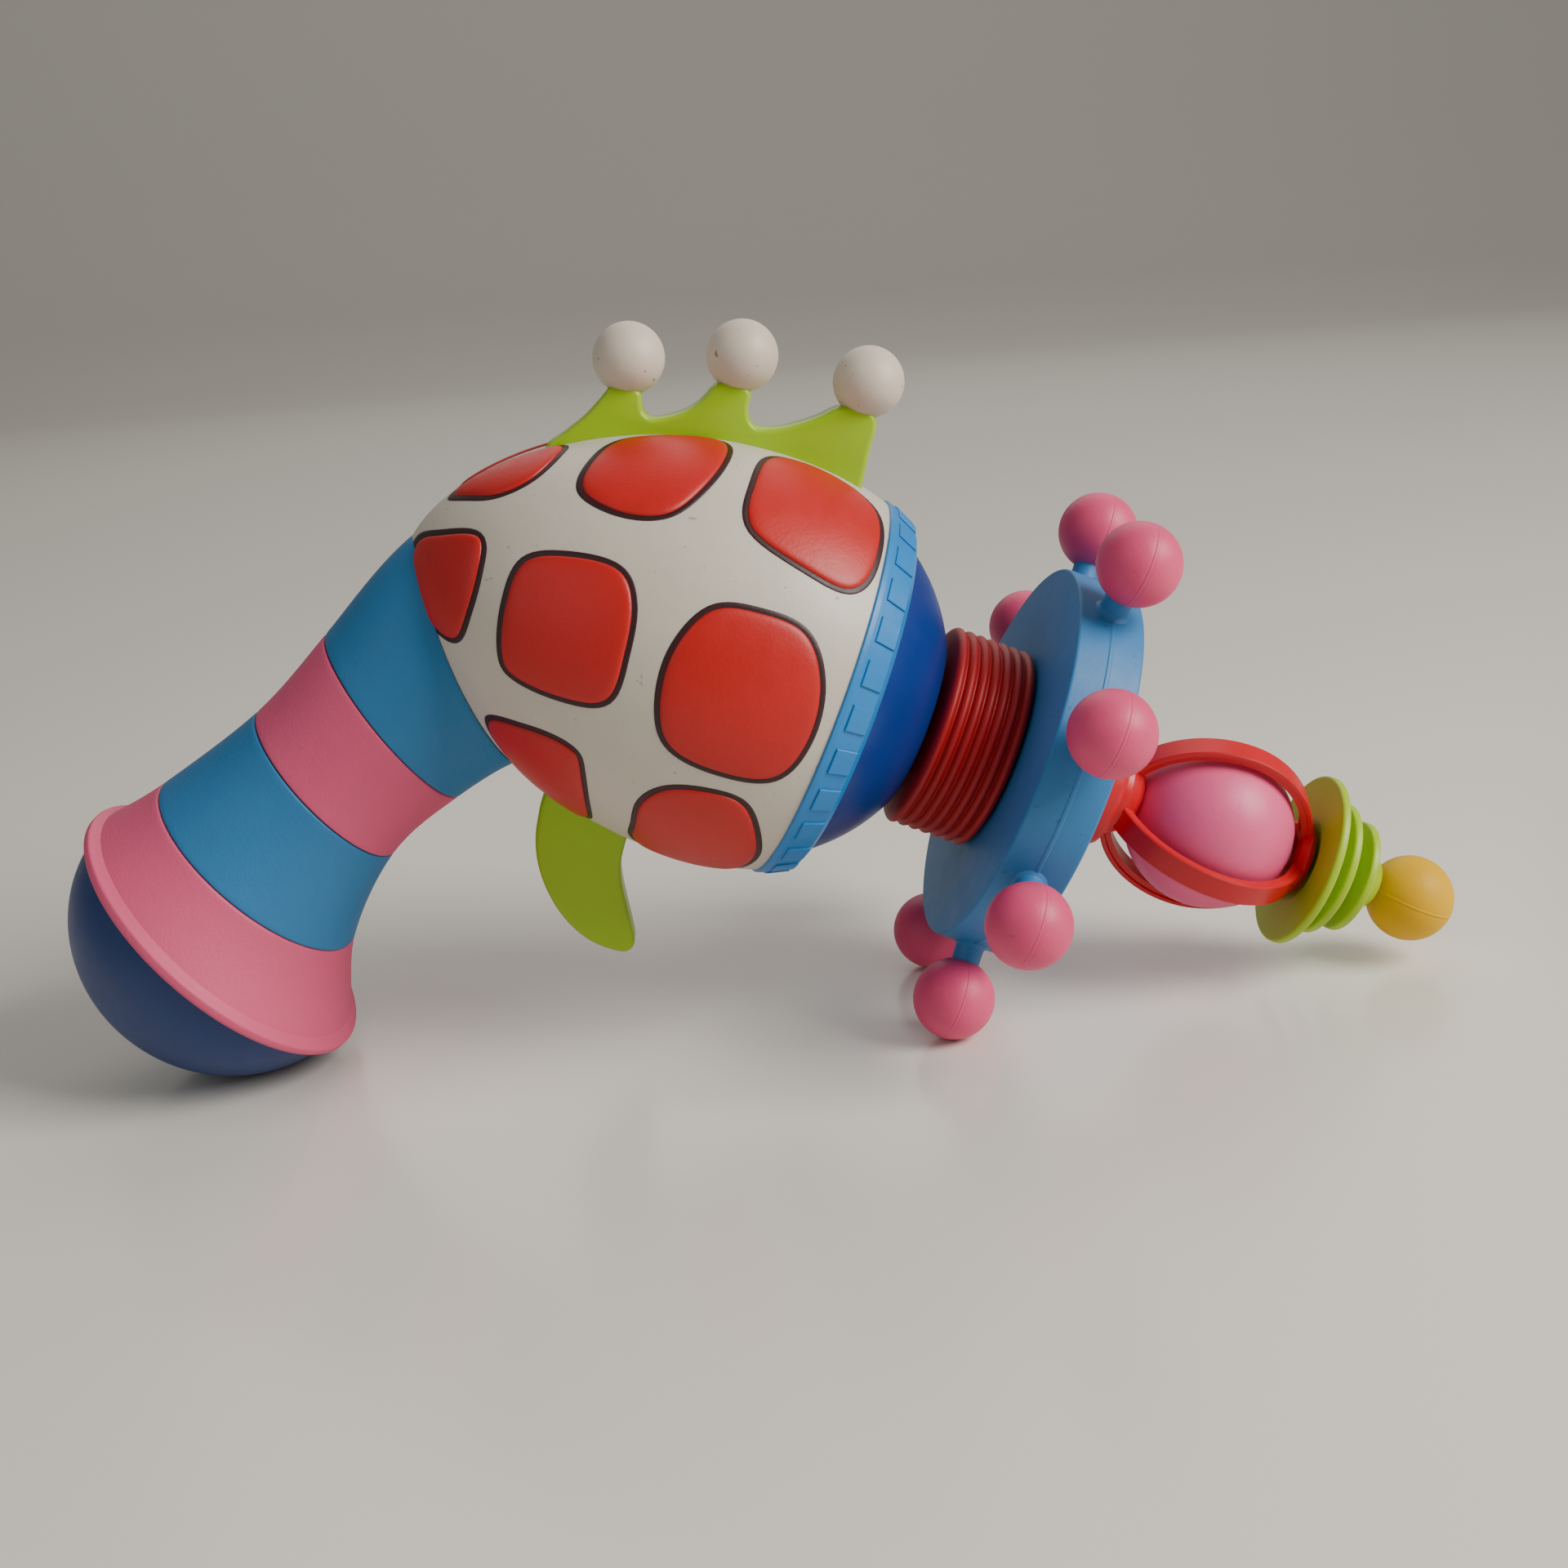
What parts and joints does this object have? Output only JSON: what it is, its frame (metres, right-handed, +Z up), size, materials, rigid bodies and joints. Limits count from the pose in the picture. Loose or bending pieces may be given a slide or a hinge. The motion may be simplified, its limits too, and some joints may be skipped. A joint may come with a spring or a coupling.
{
  "type": "baby rattle toy",
  "caption": "Ray-gun-shaped hand rattle with a banded grip, padded egg body, crown, trigger, spinning ball wheel, caged rattle egg and stacked discs.",
  "frame": {"origin": "centre of the bounding box, on the table the toy rests on", "axes": "+X towards the muzzle along the toy's length, +Y away from the side shown, +Z up"},
  "size_m": [0.3105, 0.12, 0.1576],
  "materials": {
    "pad_red": "satin",
    "ball_pink": "satin",
    "ball_ivory": "satin",
    "shell_ivory": "satin",
    "ring_blue": "satin",
    "dome_navy": "satin",
    "grip_pink": "satin",
    "grip_blue": "satin",
    "lime_green": "satin",
    "spring_steel": "satin",
    "inner_white": "satin",
    "neck_red": "satin",
    "wheel_blue": "satin",
    "cage_red": "satin",
    "rattle_pink": "satin",
    "disc_green": "satin",
    "tip_yellow": "satin",
    "bead_white": "satin"
  },
  "bodies": {
    "root": {"axle_clip": "spring_steel", "axle_washer": "spring_steel", "barrel_axle": "inner_white", "bezel_ring": "ring_blue", "butt_cap": "dome_navy", "butt_rim": "grip_pink", "click_tongue": "inner_white", "crown": "lime_green", "crown_ball_front": "ball_ivory", "crown_ball_middle": "ball_ivory", "crown_ball_rear": "ball_ivory", "disc_stack": "disc_green", "egg_shell": "shell_ivory", "front_dome": "dome_navy", "grip_band_1_blue": "grip_blue", "grip_band_2_pink": "grip_pink", "grip_band_3_blue": "grip_blue", "grip_band_4_pink": "grip_pink", "handle_core": "inner_white", "hub_flange": "cage_red", "pad_front_low_far": "pad_red", "pad_front_low_near": "pad_red", "pad_front_side_far": "pad_red", "pad_front_side_near": "pad_red", "pad_front_top_far": "pad_red", "pad_front_top_near": "pad_red", "pad_mid_side_far": "pad_red", "pad_mid_side_near": "pad_red", "pad_mid_top_far": "pad_red", "pad_mid_top_near": "pad_red", "pad_rear_low_far": "pad_red", "pad_rear_low_near": "pad_red", "pad_rear_side_far": "pad_red", "pad_rear_side_near": "pad_red", "pad_rear_top_far": "pad_red", "pad_rear_top_near": "pad_red", "rattle_bead_1": "bead_white", "rattle_bead_2": "bead_white", "rattle_bead_3": "bead_white", "rattle_bead_4": "bead_white", "rattle_capsule": "inner_white", "ribbed_neck": "neck_red", "spinner_cage": "cage_red", "tip_ball": "tip_yellow", "trigger_cradle": "inner_white", "trigger_pin": "spring_steel", "trigger_spring": "spring_steel"},
    "wheel": {"ball_wheel": "wheel_blue", "click_ratchet": "inner_white", "wheel_ball_1": "ball_pink", "wheel_ball_2": "ball_pink", "wheel_ball_3": "ball_pink", "wheel_ball_4": "ball_pink", "wheel_ball_5": "ball_pink", "wheel_ball_6": "ball_pink", "wheel_ball_7": "ball_pink", "wheel_ball_8": "ball_pink"},
    "rattle": {"rattle_egg": "rattle_pink"},
    "trigger": {"trigger": "lime_green"}
  },
  "joints": [
    {"name": "wheel_spin", "type": "hinge", "parent": "root", "child": "wheel", "pos_m": [0.05897, 0, 0.05545], "axis": [0.907, 0, -0.421], "continuous": true},
    {"name": "rattle_spin", "type": "hinge", "parent": "root", "child": "rattle", "pos_m": [0.09979, 0, 0.0365], "axis": [0.907, 0, -0.421], "continuous": true},
    {"name": "trigger_pull", "type": "hinge", "parent": "root", "child": "trigger", "pos_m": [-0.0304, 0, 0.06717], "axis": [0, 1, 0], "range_deg": [0, 8], "stiffness_Nm_per_rad": 0.25, "springref_deg": -5.73, "deforming": ["trigger_spring"]}
  ]
}
